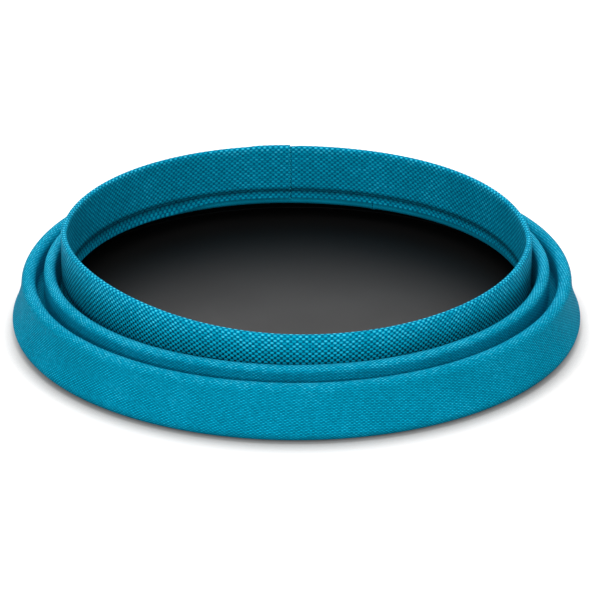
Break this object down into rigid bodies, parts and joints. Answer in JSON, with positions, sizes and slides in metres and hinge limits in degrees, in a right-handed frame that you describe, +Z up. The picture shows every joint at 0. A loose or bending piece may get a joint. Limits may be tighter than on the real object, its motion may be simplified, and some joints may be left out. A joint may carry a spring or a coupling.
{
  "type": "collapsible dog bowl",
  "caption": "Round cloth bowl for a dog's food or water that folds flat: pleated walls in nested tiers, a webbing-bound rim and a stiff dark floor.",
  "frame": {"origin": "centre of the underside, on the surface the bowl stands on", "axes": "+Z up out of the bowl's mouth, -Y towards the front, +X to the right"},
  "size_m": [0.2098, 0.2098, 0.0364],
  "materials": {
    "woven_cloth": "fine plain weave, coated on the inside",
    "rim_webbing": "coarse plain weave",
    "satin_floor": "smooth satin",
    "stiff_board": "plain",
    "seam_tape": "smooth, as dark as the floor"
  },
  "bodies": {
    "base": {"base_cloth": "woven_cloth", "base_board": "stiff_board", "floor_panel": "satin_floor", "floor_seam_tape": "seam_tape", "lower_wall": "woven_cloth", "lower_fold": "woven_cloth"},
    "middle_tier": {"middle_wall": "woven_cloth", "upper_fold": "woven_cloth"},
    "rim_tier": {"upper_wall": "woven_cloth", "rim_webbing": "rim_webbing"}
  },
  "joints": [
    {"name": "middle_lift", "type": "slide", "parent": "base", "child": "middle_tier", "axis": [0, 0, 1], "range_m": [0, 0.018], "deforming": ["lower_fold"]},
    {"name": "rim_lift", "type": "slide", "parent": "middle_tier", "child": "rim_tier", "axis": [0, 0, 1], "range_m": [0, 0.0244], "deforming": ["upper_fold"]}
  ]
}
